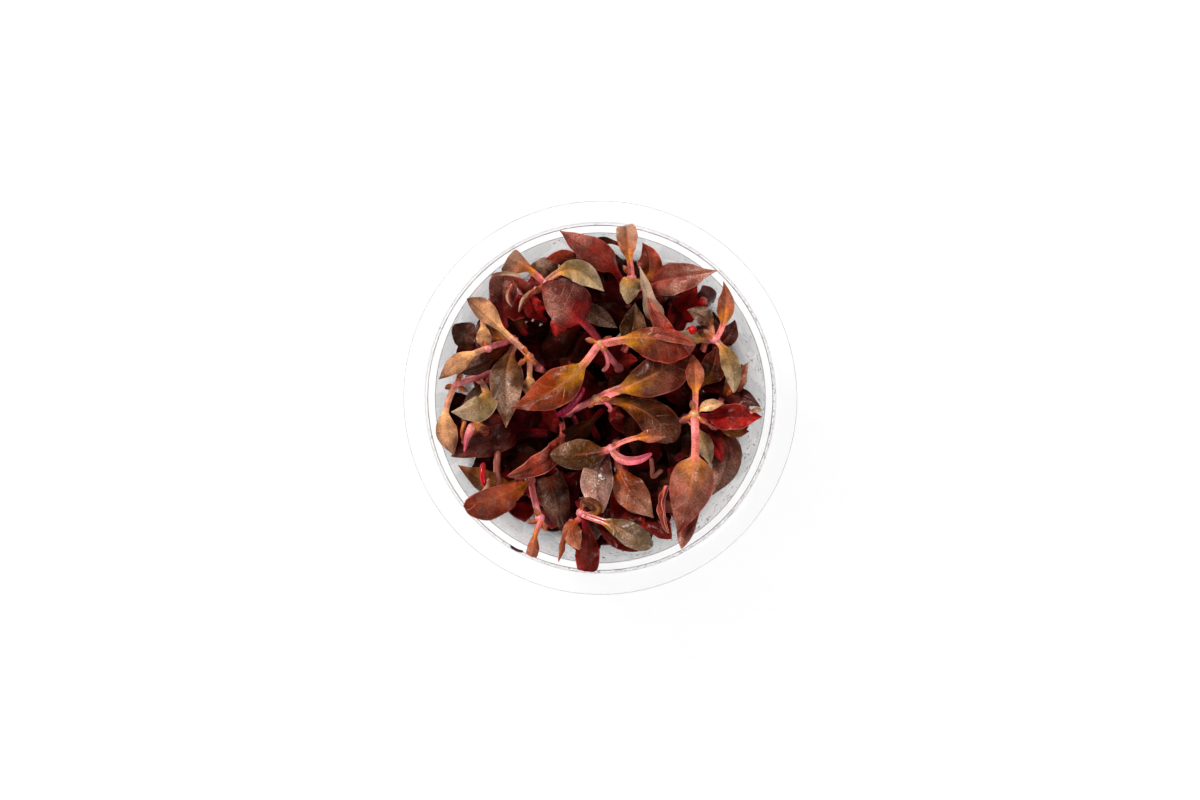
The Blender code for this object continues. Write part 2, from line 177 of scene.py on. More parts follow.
# Leaves that stand for the CAD's leaf solids of the same names
LEAVES = {
    "copper_centre": Leaf(
        "back_centre", (-9, 4, 51.5), (-22.8, -2.6, 49.5), 9.8, "copper", 0.24, 20, wave=1, shape=(1, 1.45)),
    "brown_upper": Leaf(
        "back_centre", (10, 14.8, 54), (24.2, 13.3, 52.8), 9, "brown", 0.26, 8, wave=1.3, waves=3.4,
        shape=(0.9, 0.7), halves=(0.7, 1.5), pale=-1),
    "rose_back": Leaf(
        "back_centre", (-5.5, 21.5, 51), (-14.8, 28.9, 50.8), 12.8, "dusty", 0.35, -8, wave=1.9, waves=1.3,
        shape=(0.36, 0.62), halves=(0.85, 1.25), bend=(-0.5, -0.9), pale=-1),
    "brown_lower": Leaf(
        "centre", (9, 5, 48.5), (23.3, 11.3, 48), 10, "russet", 0.24, 14, shape=(0.9, 0.6), wave=1,
        halves=(1, 1.35)),
    "olive_right": Leaf(
        "centre", (10, -2, 44.5), (18.9, -11.4, 44.5), 9.5, "olive", 0.22, up=0.93, shape=(1.4, 0.6)),
    "maroon_left": Leaf(
        "centre", (-29, -11.6, 43.5), (-38.2, -15, 48.2), 7.6, "maroon", 0.35, 34, up=0.35, shape=(0.9, 1),
        pale=-1),
    "coral_ribbon": Leaf(
        "centre", (-13, -15.5, 46), (-23.8, -19.9, 52.8), 5.8, "coral", 0.3, 34, 14, up=0.55, wave=1.2,
        shape=(0.7, 0.8)),
    "tan_back_left": Leaf(
        "left_inner", (-27, 19.5, 50), (-34, 25.3, 50.5), 5.6, "tan", 0.38, shape=(1.6, 1),
        halves=(0.7, 1.2)),
    "tan_small": Leaf("left_inner", (-17.8, 5, 45.5), (-18.7, 0, 44), 4, "tan", 0.45),
    "orange_wall": Leaf(
        "back_left", (-19, 33, 49), (-23.5, 36, 49.5), 7, "amber", 0.3, 10, shape=(1.6, 0.25),
        halves=(1.3, 0.8)),
    "grey_green_back": Leaf("back_left", (-7, 32, 52.6), (0.9, 27.2, 51.8), 6, "sage", 0.25),
    "tan_middle": Leaf("back_left", (-1, 21, 42), (4.4, 18.1, 41), 5, "grey_brown", 0.4, up=0.6),
    "tan_left_wall": Leaf("left_outer", (-39, -5, 49.5), (-37.5, -14.7, 48.5), 5.5, "tan", 0.4),
    "olive_left_small": Leaf("left_outer", (-31, 0.5, 44), (-35.8, -6.8, 44), 5, "dark_olive", 0.3, up=0.7),
    "tan_left_tip": Leaf("left_upper", (-33.5, 10.5, 49.5), (-41.2, 4.8, 50), 4.8, "tan", 0.25),
    "purple_left": Leaf("left_upper", (-30, 9, 45.5), (-37.3, 6.4, 47.6), 5, "umber", 0.25, up=0.75),
    "grey_green_left": Leaf(
        "left_upper", (-23.3, 4, 47.8), (-24.2, -7.6, 47.5), 8.8, "grey_brown", 0.28, up=0.62, pale=-1),
    "big_right": Leaf(
        "right", (23.2, -20, 54), (19.5, -34.5, 54.5), 11.5, "rose", 0.36, 14, shape=(0.6, 1.2),
        bend=(-0.6, -0.4)),
    "coral_right": Leaf("right", (24.3, 5, 51.5), (23.6, 11, 50.4), 4.8, "orange", 0.35, 22),
    "cream_right": Leaf("right", (28, -2, 51.5), (31.5, -1.4, 51.5), 3, "cream", 0.25, up=0.95),
    "crimson_right": Leaf(
        "right", (34, -4.5, 49.5), (41.3, -4.9, 49.8), 7.5, "crimson", 0.3, 34, 10, up=0.8, wave=1.1),
    "mauve_right": Leaf("right", (32.5, -13.5, 42), (29, -25, 42), 8, "mauve", 0.35, up=0.55),
    "olive_right_small": Leaf("right", (27, -12, 46), (28.3, -17.3, 45), 4.4, "sage", 0.35, up=0.75),
    "copper_under_right": Leaf(
        "right", (23.2, -24, 47), (20.6, -38.4, 53.2), 5.2, "rosewood", 0.4, up=0.35, shape=(1.5, 0.8)),
    "copper_right_back": Leaf(
        "right_back", (32.3, 21.5, 52), (31.3, 29.6, 53), 4.6, "orange", 0.3, shape=(1, 1.6)),
    "tan_right": Leaf(
        "right_back", (32.8, 10, 49), (34.2, 1.3, 48), 5, "sage", 0.14, wave=1.3, shape=(0.8, 1)),
    "silver_right_small": Leaf("right_back", (24.5, 15, 46.5), (20, 17, 47), 4, "sage", 0.35, up=0.85),
    "folded_right_back": Leaf(
        "right_back", (26.5, 20.5, 47), (22.3, 22.5, 48), 4.8, "grey_brown", 0.3, 30, up=0.9),
    "crimson_back": Leaf("right_back", (22, 22.5, 42), (25, 29.5, 44), 7, "scarlet", 0.4, up=0.45),
    "silver_twisted": Leaf(
        "right_back", (15.5, 19.5, 45), (10, 33.5, 53.5), 4.8, "silver", 0.45, 12, 30, up=0.3),
    "brick_back_left": Leaf(
        "back", (0.5, 34, 47.5), (-10.2, 42.3, 56.5), 7.5, "brick", 0.4, up=0.55, wave=0.7),
    "orange_back": Leaf("back", (7.7, 37, 52), (6.3, 43.6, 56.6), 5.6, "amber", 0.35, shape=(0.9, 0.35)),
    "tan_heart": Leaf("back", (7.4, 27.5, 49.5), (7, 24, 49), 5.6, "sage", 0.12, shape=(0.35, 0.9)),
    "brick_back_right": Leaf("back", (13.2, 33, 49), (10.8, 39.5, 50.5), 6.4, "brown", 0.25, up=0.9),
    "rose_back_right": Leaf(
        "back", (19, 30, 52.5), (29.6, 32.2, 56.5), 8.6, "rosewood", 0.25, 24, up=0.8, shape=(0.9, 1.35)),
    "olive_front": Leaf(
        "front", (4, -33.7, 49), (13.3, -38, 49), 6.4, "silver_olive", 0.3, shape=(0.9, 0.55)),
    "red_lobed": Leaf(
        "front", (-3, -37, 50), (-3.8, -43.9, 56.5), 6.4, "wine", 0.3, up=0.93, wave=1.1, waves=2,
        shape=(0.7, 0.4)),
    "olive_oval": Leaf(
        "front_centre", (-5, -14.5, 48), (-12.8, -14.7, 48), 8.4, "dark_olive", 0.15, 8, shape=(0.6, 0.7)),
    "grey_brown_wet": Leaf(
        "front_centre", (-0.8, -20.5, 46.5), (0.6, -29.5, 46), 8.6, "wet", 0.15, up=0.9, shape=(0.8, 0.9)),
    "amber_front": Leaf("front_centre", (8, -10.2, 48.5), (16.9, -10, 48), 3.5, "orange", 0.5),
    "brown_front": Leaf("front_centre", (7.5, -22, 44), (13.7, -30.9, 44.5), 8.5, "tawny", 0.3, up=0.78),
    "dark_front_right": Leaf(
        "front_centre", (12, -28, 39), (18.2, -36.2, 47), 6, "wine", 0.4, up=0.5, shape=(0.9, 0.7)),
    "copper_front_left": Leaf(
        "front_left", (-25, -25, 53), (-34.6, -27.2, 56.6), 9, "copper_dark", 0.3, 6, up=0.6,
        shape=(1.2, 0.55), halves=(1.3, 0.6), bend=(-1, 0.3)),
    "olive_wall_left": Leaf("front_left", (-29, -21, 45), (-36.4, -17.3, 47.8), 6, "khaki", 0.4, up=0.5),
    "dark_olive_front": Leaf("front_left", (-11.6, -26, 41), (-9.3, -35.5, 43.5), 8.6, "umber", 0.3, up=0.3),
    "orange_front_left": Leaf(
        "front_left", (-16, -35, 51), (-17.5, -40.2, 56.4), 3.2, "orange", 0.35, shape=(1.4, 0.4)),
}

# Leaves past the 60 solids, each from a point of its own
MORE_LEAVES = {
    "sage_left": Leaf(
        (-31.9, 5, 40.5), (-30.6, -2, 50.4), (-38, -3.6, 51.6), 6.2, "sage", 0.3, halves=(1.3, 0.8)),
    "hanging_tan": Leaf((-30, 20.5, 49), (-30, 16.5, 48), (-29.7, 12.5, 45), 4, "tan"),
    "red_lobe": Leaf(
        (-6.5, 22.5, 50), (-9.5, 20.5, 49.5), (-11.2, 15.8, 46.5), 5.6, "scarlet", 0.12, -10,
        shape=(0.6, 0.6), bend=(-0.8, -0.8)),
    "narrow_front": Leaf((-7, -31.5, 46), (-8.7, -36, 51), (-10.7, -41.6, 54), 2.6, "orange", roll=50),
    "small_front": Leaf((-4.4, -30.2, 45.5), (-1, -28.8, 47.5), (-5.5, -25.6, 47), 3, "olive"),
    "crimson_front": Leaf((-3, -30, 42), (5, -36.5, 44), (12.4, -38.6, 47), 4.6, "wine"),
    "pink_ribbon": Leaf(
        (2.3, -12.3, 46), (5.8, -16.4, 46.5), (13.2, -14.2, 47), 2.1, "pink", 0.1, shape=(0.35, 0.5)),
    "blunt_left": Leaf((-33, 10.5, 45), (-34.5, 15, 47), (-35.2, 19.2, 48), 6.4, "umber", shape=(0.6, 0.25)),
    "nub_right": Leaf((31, -1, 40), (34.5, 4.5, 46), (38, 9, 47), 5, "tawny"),
    "purple_right": Leaf((27, 2, 38), (35, 1, 45), (41, -2.3, 48.2), 5, "maroon"),
    "brown_right": Leaf((25, 3, 38), (28.5, 7, 44), (30, 13.5, 46), 7, "russet"),
    "maroon_right": Leaf((29, 13, 42), (33, 16, 46), (34.5, 20, 47), 5, "maroon"),
    "folded_brick": Leaf(
        (-24.5, 18, 42), (-25.2, 25, 47), (-24.4, 31.6, 49), 7.6, "dusty", 0.2, 22, shape=(0.8, 0.3),
        bend=(-0.3, -1.2)),
    "curled_brick": Leaf((-17, 23, 40), (-19.5, 28, 47), (-23.5, 31.4, 49), 4, "brick", bend=(1.2, -0.8)),
    "curled_silver": Leaf(
        (-16.2, 28.2, 48.5), (-18.8, 25.2, 50.2), (-20.8, 22, 48.5), 3, "silver", 0.1, wave=1.4, waves=4,
        bend=(3.4, -1.6)),
    "curled_pale": Leaf(
        (-22.4, 29, 49), (-23.2, 26.5, 49.8), (-22.6, 23.4, 48.4), 2.2, "silver", 0.1, wave=1.2, waves=4,
        bend=(3, -2)),
    "scarlet_inside": Leaf((-14, 20, 40), (-17, 23, 44), (-18, 27, 45), 5.6, "scarlet"),
    "brown_wall": Leaf((-11, 29, 42), (-14.5, 33, 47), (-18.5, 33.5, 48.5), 5.4, "grey_brown"),
    "maroon_wall": Leaf((-4, 32, 43), (-8, 36, 48), (-14, 35.5, 49), 4.6, "brown"),
    "brown_strip": Leaf((5.5, 39.2, 46), (2, 39.9, 47.5), (-3.5, 39.5, 48), 1.8, "umber"),
    "curled_top": Leaf(
        (8.9, 16.4, 51.6), (16, 15.6, 55.4), (24, 13.5, 54), 2.3, "coral", 0.08, 10, 25, wave=0.6,
        shape=(0.5, 0.6)),
    "coral_sheath": Leaf(
        (19.4, 14.4, 50), (16.5, 17.5, 52.6), (12.2, 25.5, 50.5), 4, "coral", 0.1, 24, shape=(0.4, 0.9)),
    "brick_front": Leaf((-5, -31, 44), (-7, -35, 50), (-5, -39, 51), 5, "tawny"),
    "curled_margin": Leaf(
        (17, -22.5, 50), (15.8, -28.5, 54), (17.4, -34.4, 54.5), 2.8, "coral", 0.1, shape=(0.6, 0.7),
        roll=-35, bend=(1.3, 0.6)),
    "olive_rim": Leaf((30, -6.5, 42), (34, -8.4, 45), (38.2, -8.6, 46.5), 4, "khaki", 0.15),
    "red_patch": Leaf((27.5, -9.5, 42), (30, -12.5, 45), (31.4, -16.5, 43.5), 3.4, "scarlet", 0.15),
    "white_crescent": Leaf((-28.8, -20.8, 49.4), (-28.9, -23, 50), (-31, -24.4, 49.6), 1.2, "silver", 0.1),
    # Low leaves in looks darkened as painted shade, where gaps would show the pale gel
    "deep_gap_left": Leaf((-13, -2, 30), (-19, -5, 35), (-25, -8, 34), 10, "deep_shaded_red"),
    "deep_gap_front": Leaf((5, -14, 28), (12, -19, 34), (18, -24, 34), 12, "deep_shaded_brown"),
    "deep_heart": Leaf((6, 12, 36), (8, 18, 42), (9, 24.5, 43.5), 7, "dark_olive"),
    "deep_left": Leaf((-23, -3, 36), (-27, -7.5, 41), (-31, -12, 43), 9, "maroon"),
    "deep_front": Leaf((2, -22, 36), (7, -30, 41), (12, -35, 43), 9, "crimson"),
    "pale_strip_left": Leaf(
        (-32.6, -6.4, 50.4), (-33.6, -10, 51), (-34.8, -13.8, 50.2), 1.9, "pink", 0.04, 8, shape=(0.2, 0.9),
        wave=0.2),
    "orange_strip_left": Leaf(
        (-34.6, -6, 50), (-35.1, -8.5, 50), (-34.9, -11.5, 49.6), 1, "orange", 0.04, 8, shape=(0.3, 0.5),
        wave=0.2),
    "pale_edge_back": Leaf(
        (-27.8, 31.2, 50.3), (-24.2, 31.7, 50.8), (-20.2, 30.9, 50.2), 0.8, "silver", 0.05, 8,
        shape=(0.4, 0.5), wave=0.3),
    # A low leaf in a look darkened as painted shade, where a gap would show the pale gel
    "deep_gap_right": Leaf((12, -12, 26), (17, -17, 32), (22, -22, 34), 11, "deep_shaded_red"),
    # A pale sliver at the crimson leaf's tip: a painted highlight
    "painted_highlight_tip_right": Leaf((38.4, -3.8, 50.6), (39.8, -3.1, 51.2), (41.3, -3.2, 50.6), 1.3, "silver", 0.1),
    "dark_left_wall": Leaf((-31, -4.5, 42), (-31.5, -8, 44), (-30, -12, 44), 6, "brown"),
}

# The top node of each stem: its colour, radius and how many small leaves sit on it
BUDS = {
    "back_centre": ("cream", 1.15, 3),
    "centre": ("cream", 1.15, 2),
    "left_inner": ("orange", 1.1, 3),
    "back_left": ("pink", 1.1, 1),
    "left_outer": ("pink", 1.1, 3),
    "left_upper": ("pink", 1.05, 1),
    "right": ("cream", 1.3, 3),
    "right_back": ("pink", 1.1, 1),
    "front": ("pink", 1.1, 2),
    "front_centre": ("pink", 1.1, 1),
    "front_left": ("pink", 1.15, 3),
    "back": ("pink", 1.1, 1),
}

# Thin stalks and bare stems: route, radius and colour
SHOOTS = {
    "magenta_band": (((-4.2, 2.8, 47), (-6.5, -1, 45), (-11.3, -4.5, 40)), 0.9, "magenta"),
    "pink_hook_back": (((0.8, 12.3, 48), (1.9, 9.5, 47), (0.5, 7, 43)), 0.55, "pink"),
    "pink_hook_centre": (((0.9, -0.9, 45.5), (2.2, -2, 45.5), (2.3, -3.4, 43)), 0.55, "pink"),
    "dark_shoot_centre": (((-7, -4.5, 40), (-6, -7, 36), (-5, -9, 30)), 0.8, "crimson"),
    "red_shoot_left": (((-29.9, -16.6, 48), (-30.1, -19.6, 49.6), (-29.6, -22.8, 49.4)), 0.75, "red"),
    "brown_shoot_left": (((-26.3, -13.6, 43), (-26.7, -18, 43.5), (-26.3, -23.5, 42)), 0.95, "dusty"),
    "red_fork_front_a": (((13, -15.5, 44), (13.4, -18, 42), (13.3, -20.6, 40)), 0.6, "dusty"),
    "red_fork_front_b": (((16, -18.5, 42), (14.8, -19.6, 41.5), (13.3, -20.6, 40)), 0.6, "dusty"),
    "dark_twig": (((-22.8, -37.5, 55.4), (-21.2, -38.6, 55.5), (-19.5, -39, 55.4)), 0.35, "maroon"),
    "red_stub_back": (((24, 23, 40), (26, 24.5, 46), (26.6, 25, 49)), 1.15, "red"),
    "red_stub_right": (((22, 16, 40), (23.5, 17.2, 46), (24, 17.5, 48)), 1.25, "red"),
}

# Leaves deep in the cup, in looks darkened as painted shade: how many of each look, how far from the
# middle, how high and how long
LOWER_LEAVES = {"deep_shaded_red": 120, "deep_shaded_brown": 70, "deep_shaded_olive": 30, "crimson": 15}
LOWER_REACH = 33
LOWER_HEIGHTS = (14, 36)
LOWER_LENGTHS = (12, 20)

# Leaves round the wall, with the headings in degrees where gaps stay
WALL_LEAVES = 54
WALL_LOOKS = ("umber", "maroon", "russet", "deep_shaded_olive", "crimson")
WALL_GAPS = ((55, 75), (82, 96), (172, 186), (228, 246), (258, 270), (28, 38))
WALL_REACH = (24, 31)
WALL_HEIGHTS = (30, 40)
WALL_LENGTHS = (8, 13)

# Linear colours of the leaf looks in thousandths, at the base of the blade, its middle, its tip and its
# edge, the edge paler in part as a painted rim highlight, how much of the face a painted silvery sheen
# covers, and the record's slot for it
LOOKS = {
    "copper": ((440, 190, 18), (170, 26, 3), (250, 38, 12), (460, 100, 50), 0.01, "copper"),
    "copper_dark": ((500, 150, 12), (360, 65, 18), (160, 20, 8), (340, 55, 24), 0.04, "copper"),
    "brown": ((460, 180, 18), (160, 28, 9), (280, 28, 13), (580, 90, 55), 0.08, "brown"),
    "russet": ((380, 150, 12), (105, 20, 4), (120, 14, 6), (400, 90, 50), 0.06, "brown"),
    "tawny": ((360, 75, 8), (240, 50, 16), (400, 150, 85), (360, 120, 70), 0.24, "brown"),
    "umber": ((140, 26, 4), (50, 11, 4), (55, 12, 5), (120, 30, 16), 0.14, "brown"),
    # The wet look's pale tip and edge are in part a painted highlight
    "wet": ((80, 12, 3), (160, 52, 34), (380, 190, 150), (520, 320, 260), 0.44, "mauve"),
    "olive": ((360, 120, 8), (78, 16, 2), (85, 15, 3), (260, 65, 35), 0.08, "olive"),
    "dark_olive": ((110, 34, 3), (78, 26, 2), (110, 40, 9), (240, 110, 60), 0.15, "olive"),
    "silver_olive": ((260, 95, 8), (110, 58, 13), (150, 90, 45), (200, 100, 50), 0.3, "olive"),
    "sage": ((440, 200, 45), (260, 160, 60), (330, 240, 140), (440, 280, 190), 0.3, "grey_green"),
    # The silver look's pale middle and tip are in part a painted sheen
    "silver": ((300, 60, 30), (300, 170, 90), (420, 300, 200), (450, 280, 200), 0.5, "grey_green"),
    "grey_brown": ((220, 80, 22), (90, 36, 13), (130, 52, 24), (260, 100, 60), 0.34, "grey_green"),
    # The tan look's pale base is in part a painted highlight
    "tan": ((800, 400, 170), (550, 260, 115), (270, 115, 58), (560, 260, 150), 0.14, "tan"),
    "khaki": ((400, 150, 12), (220, 90, 14), (170, 45, 12), (300, 100, 30), 0.1, "olive"),
    "amber": ((660, 230, 28), (540, 150, 45), (420, 200, 125), (520, 130, 75), 0.26, "orange"),
    "cream": ((700, 340, 120), (720, 420, 220), (550, 260, 120), (720, 400, 220), 0.1, "tan"),
    "orange": ((620, 200, 30), (350, 88, 30), (250, 62, 33), (480, 90, 50), 0.12, "orange"),
    "brick": ((300, 14, 6), (260, 32, 19), (260, 44, 31), (420, 80, 55), 0.16, "brick"),
    "wine": ((130, 6, 3), (70, 5, 2), (130, 6, 3), (300, 35, 25), 0.02, "brick"),
    "rosewood": ((240, 18, 10), (170, 28, 15), (210, 36, 19), (380, 120, 85), 0.32, "rose"),
    "scarlet": ((240, 4, 6), (320, 6, 6), (260, 6, 6), (360, 20, 20), 0.04, "crimson"),
    "crimson": ((300, 10, 8), (200, 8, 6), (320, 14, 10), (500, 100, 80), 0.03, "crimson"),
    "maroon": ((130, 8, 4), (75, 10, 7), (80, 12, 9), (200, 30, 24), 0.07, "maroon"),
    "rose": ((420, 155, 36), (260, 85, 56), (150, 20, 11), (360, 70, 50), 0.12, "rose"),
    "dusty": ((220, 6, 5), (120, 10, 8), (170, 28, 20), (280, 60, 50), 0.22, "rose"),
    "mauve": ((280, 20, 10), (150, 45, 28), (170, 60, 38), (220, 70, 50), 0.26, "mauve"),
    "coral": ((480, 90, 45), (240, 28, 15), (240, 36, 14), (620, 200, 160), 0.1, "coral"),
    "pink": ((740, 270, 210), (700, 180, 190), (520, 60, 120), (800, 340, 320), 0.05, "coral"),
    # Looks of leaves low in the cup: their own dark colours, darkened further as painted shade
    "deep_shaded_red": ((70, 2, 3), (45, 1.4, 2), (50, 1.6, 2), (80, 4, 5), 0.0, "maroon"),
    "deep_shaded_brown": ((70, 10, 2), (30, 4, 1), (26, 4, 1), (60, 9, 4), 0.01, "brown"),
    "deep_shaded_olive": ((90, 22, 4), (32, 8, 2), (28, 6, 2), (70, 15, 6), 0.02, "olive"),
}
# The pale pinkish grey of the painted silvery sheen
PAINTED_SHEEN_COLOUR = (600, 380, 280)

# Stalks: the colours, in thousandths, of their two ends and of a blade that meets them
STALK_COLOURS = {
    "cream": ((580, 160, 80), (660, 360, 160)),
    "pink": ((640, 120, 150), (860, 300, 300), (840, 220, 200)),
    "crimson": ((160, 6, 15), (260, 20, 30), (200, 12, 20)),
    "magenta": ((250, 2, 30), (380, 10, 70)),
    "maroon": ((30, 4, 4), (60, 10, 10)),
    "dusty": ((340, 100, 70), (480, 180, 130), (620, 260, 170)),
    "tan": ((600, 220, 160), (720, 360, 230), (620, 260, 170)),
    "red": ((300, 2, 4), (550, 8, 12)),
    "orange": ((580, 130, 30), (600, 180, 40)),
}

# Looks with a dark underside and a crimson stalk
DARK_LOOKS = (
    "brick", "wine", "crimson", "scarlet", "maroon", "dusty", "umber", "wet",
    "deep_shaded_red", "deep_shaded_brown", "deep_shaded_olive",
)

# Leaves with a film of water on them
WET_LOOKS = ("wet", "silver_olive")

# Stalks that are neither pink nor, as on the dark looks, crimson
PALE_STALKS = {"tan": "tan", "sage": "tan", "khaki": "tan", "silver": "tan", "grey_brown": "dusty"}

# The undersides of the dark leaves and of the others: name, look and colour by the stalk
UNDERSIDES = {
    True: ("underside_dark", "crimson", (200, 12, 20)),
    False: ("underside_red", "coral", (500, 100, 70)),
}


def unit(vectors):
    return vectors / np.linalg.norm(vectors, axis=-1, keepdims=True)


def level(angle):
    """The level direction at an angle from +X."""
    return np.array((math.cos(angle), math.sin(angle), 0))


def full_turn(sides):
    return np.arange(sides) / sides * math.tau


def quadratic(start, control, end, t):
    return start * (1 - t) ** 2 + control * 2 * t * (1 - t) + end * t**2


def curve(start, middle, end, t):
    """Points at the shares t of the curve through three points that the CAD uses for stems and leaves."""
    start, middle, end = (np.array(point, float) for point in (start, middle, end))
    first, second = np.linalg.norm(middle - start), np.linalg.norm(end - middle)
    right = first / (first + second)
    left = 1 - right
    return quadratic(start, (middle - start * left**2 - end * right**2) / (2 * left * right), end, t)


def between(points, places, where):
    """Points or directions at new places along a line, from those at known places."""
    return np.stack([np.interp(where, places, points[:, i]) for i in range(3)], axis=1)


def path_through(start, middle, end, count):
    """Evenly spaced points on the curve through three points."""
    fine = curve(start, middle, end, np.linspace(0, 1, 200)[:, None])
    length = np.concatenate(([0], np.cumsum(np.linalg.norm(np.diff(fine, axis=0), axis=1))))
    return between(fine, length, np.linspace(0, length[-1], count))


def carried_frames(path):
    """Two directions across a path at each of its points, carried along it without twist."""
    ahead = unit(np.gradient(path, axis=0))
    across = np.empty_like(path)
    least = np.eye(3)[np.argmin(np.abs(ahead[0]))]
    across[0] = unit(np.cross(ahead[0], least))
    for i in range(1, len(path)):
        across[i] = unit(across[i - 1] - ahead[i] * np.dot(across[i - 1], ahead[i]))
    return across, np.cross(ahead, across)


def smooth_step(values, low, high):
    share = np.clip((values - low) / (high - low), 0, 1)
    return share * share * (3 - 2 * share)


def waver(points, size, seed):
    """A smooth random height for each point, from three crossed waves, about -1 to 1."""
    rng = np.random.default_rng(seed)
    total = np.zeros(points.shape[:-1])
    for _ in range(3):
        direction = unit(rng.normal(size=3)) * math.tau / size * rng.uniform(0.7, 1.4)
        total += np.sin(points @ direction + rng.uniform(0, math.tau)) / 3
    return total


def slope(height, low, high, low_radius, high_radius):
    """The radius at a height, on the straight line between a low and a high end."""
    return low_radius + (height - low) / (high - low) * (high_radius - low_radius)


def wall_radius(height):
    """The cup's inside radius under the ledge."""
    return slope(height, FLOOR_HEIGHT, LEDGE_HEIGHT, FOOT_RADIUS, COLLAR_FOOT_RADIUS - LEDGE_WIDTH)


def kept_inside(points, gap):
    """The points, with those nearer to the cup than the gap moved in, as a leaf lies against the wall."""
    x, y, height = np.moveaxis(points, -1, 0)
    in_collar = slope(height, LEDGE_HEIGHT, CUP_HEIGHT, COLLAR_FOOT_RADIUS, COLLAR_TOP_RADIUS)
    limit = np.where(height < LEDGE_HEIGHT + 1, wall_radius(height), in_collar) - gap
    limit = np.where(height < CUP_HEIGHT, limit, FLANGE_RADIUS)
    factor = np.minimum(1, limit / np.maximum(np.hypot(x, y), 1))
    return np.stack([x * factor, y * factor, height], axis=-1)


def uv_grid(across, along):
    """UVs for a grid, of which across runs over the columns and along over the rows."""
    return np.stack(np.broadcast_arrays(across[None, :], along[:, None]), axis=2)


def add_object(name, data):
    made = bpy.data.objects.new(name, data)
    bpy.context.scene.collection.objects.link(made)
    return made


class Shape:
    """Gathers the points, faces, UVs and material numbers of one piece."""

    def __init__(self):
        self.points, self.faces, self.uvs, self.slots = [], [], [], []
        self.count = 0

    def add_face(self, face, uv, slot, flip):
        self.faces.append(face[::-1] if flip else face)
        self.uvs.extend(uv[::-1] if flip else uv)
        self.slots.append(slot)

    def add_grid(self, points, uv, slot, closed=False, flip=False):
        """A grid of rows by columns; closed joins the last column to the first."""
        rows, columns = points.shape[:2]
        self.points.append(points.reshape(-1, 3))
        for i in range(rows - 1):
            for j in range(columns if closed else columns - 1):
                k = (j + 1) % columns
                corners = [(i, j), (i, k), (i + 1, k), (i + 1, j)]
                face_uv = [uv[row, column] for row, column in corners]
                if k == 0:
                    face_uv[1:3] = [(1.0, place[1]) for place in face_uv[1:3]]
                face = [self.count + row * columns + column for row, column in corners]
                self.add_face(face, face_uv, slot, flip)
        self.count += rows * columns

    def add_fan(self, ring, centre, slot, flip=False):
        """Closes a ring of points with triangles to a centre."""
        self.points.append(np.vstack([ring, centre]))
        last = len(ring)
        for j in range(last):
            face = [self.count + j, self.count + (j + 1) % last, self.count + last]
            self.add_face(face, [(0.5, 1.0)] * 3, slot, flip)
        self.count += last + 1

    def build(self, name, materials):
        mesh = bpy.data.meshes.new(name)
        mesh.from_pydata((np.vstack(self.points) * MM).tolist(), [], self.faces)
        layer = mesh.uv_layers.new(name="Leaf")
        layer.data.foreach_set("uv", np.array(self.uvs, np.float32).ravel())
        mesh.polygons.foreach_set("material_index", self.slots)
        mesh.polygons.foreach_set("use_smooth", [True] * len(self.faces))
        for material in materials:
            mesh.materials.append(material)
        mesh.update()
        return add_object(name, mesh)


def add_tube(shape, path, radii, slot, sides=12, lumps=0.0, seed=0):
    """A round tube with closed ends; lumps roughens its radius."""
    across, other = carried_frames(path)
    turn = full_turn(sides)
    rough = np.random.default_rng(seed).normal(0, lumps, (len(path), sides))
    reach = (radii[:, None] * (1 + rough))[:, :, None]
    ring = np.cos(turn)[None, :, None] * across[:, None] + np.sin(turn)[None, :, None] * other[:, None]
    points = path[:, None] + reach * ring
    shape.add_grid(points, uv_grid(turn / math.tau, np.linspace(0, 1, len(path))), slot, closed=True)
    for end, inner, flip in ((0, 1, True), (-1, -2, False)):
        dome = path[end] + unit(path[end] - path[inner]) * radii[end] * TUBE_DOME
        shape.add_fan(points[end], dome, slot, flip)


def leaf_frames(path, leaf, share):
    """The directions to the side and out of the blade at each point of a leaf's midrib."""
    ahead = unit(np.gradient(path, axis=0))
    side = unit(np.cross(ahead, UP))
    angle = np.radians(leaf.roll + leaf.twist * (share - 0.5))[:, None]
    turned = side * np.cos(angle) + np.cross(side, ahead) * np.sin(angle)
    return turned, np.cross(turned, ahead)


def blade_widths(leaf, u, stalk_half):
    """Half the width at the shares u of the blade, and how fully each is a blade and not its stalk."""
    rise, fall = leaf.shape
    peak = rise / (rise + fall)
    wide = leaf.width / 2 * ((u / peak) ** rise * ((1 - u) / (1 - peak)) ** fall)
    stalk_part = stalk_half * (1 - smooth_step(u, 0, STALK_FADES))
    half = (stalk_part**3 + wide**3) ** (1 / 3) + LEAST_HALF_WIDTH
    return half[:, None], smooth_step(wide, *FULL_BLADE)[:, None]


def blade_relief(leaf, rng, u, a, half, fullness):
    """How far the blade's points lie to the side of the midrib and above it: fold, waves, veins, groove."""
    edge = np.abs(a)
    fold = math.radians(leaf.fold) * rng.uniform(0.8, 1.2)
    bend = np.where(a < 0, *leaf.bend) + 1e-4
    lateral = (np.sin(fold + bend * edge) - math.sin(fold)) / bend * np.sign(a)
    height = (math.cos(fold) - np.cos(fold + bend * edge)) / bend
    phase = rng.uniform(0, 1, 2)
    swing = np.sin(math.tau * (u[:, None] * leaf.waves + np.where(a < 0, *phase)))
    lift = half * height + leaf.wave * swing * edge**2 * fullness
    vein = np.cos(math.pi * (u[:, None] * SIDE_VEINS - edge * VEIN_SLANT)) ** 6
    lift -= VEIN_DEPTH * vein * (1 - edge**2) * fullness
    lift -= GROOVE_DEPTH * np.exp(-((a * half / GROOVE_WIDTH) ** 2)) * fullness
    return half * lateral, lift


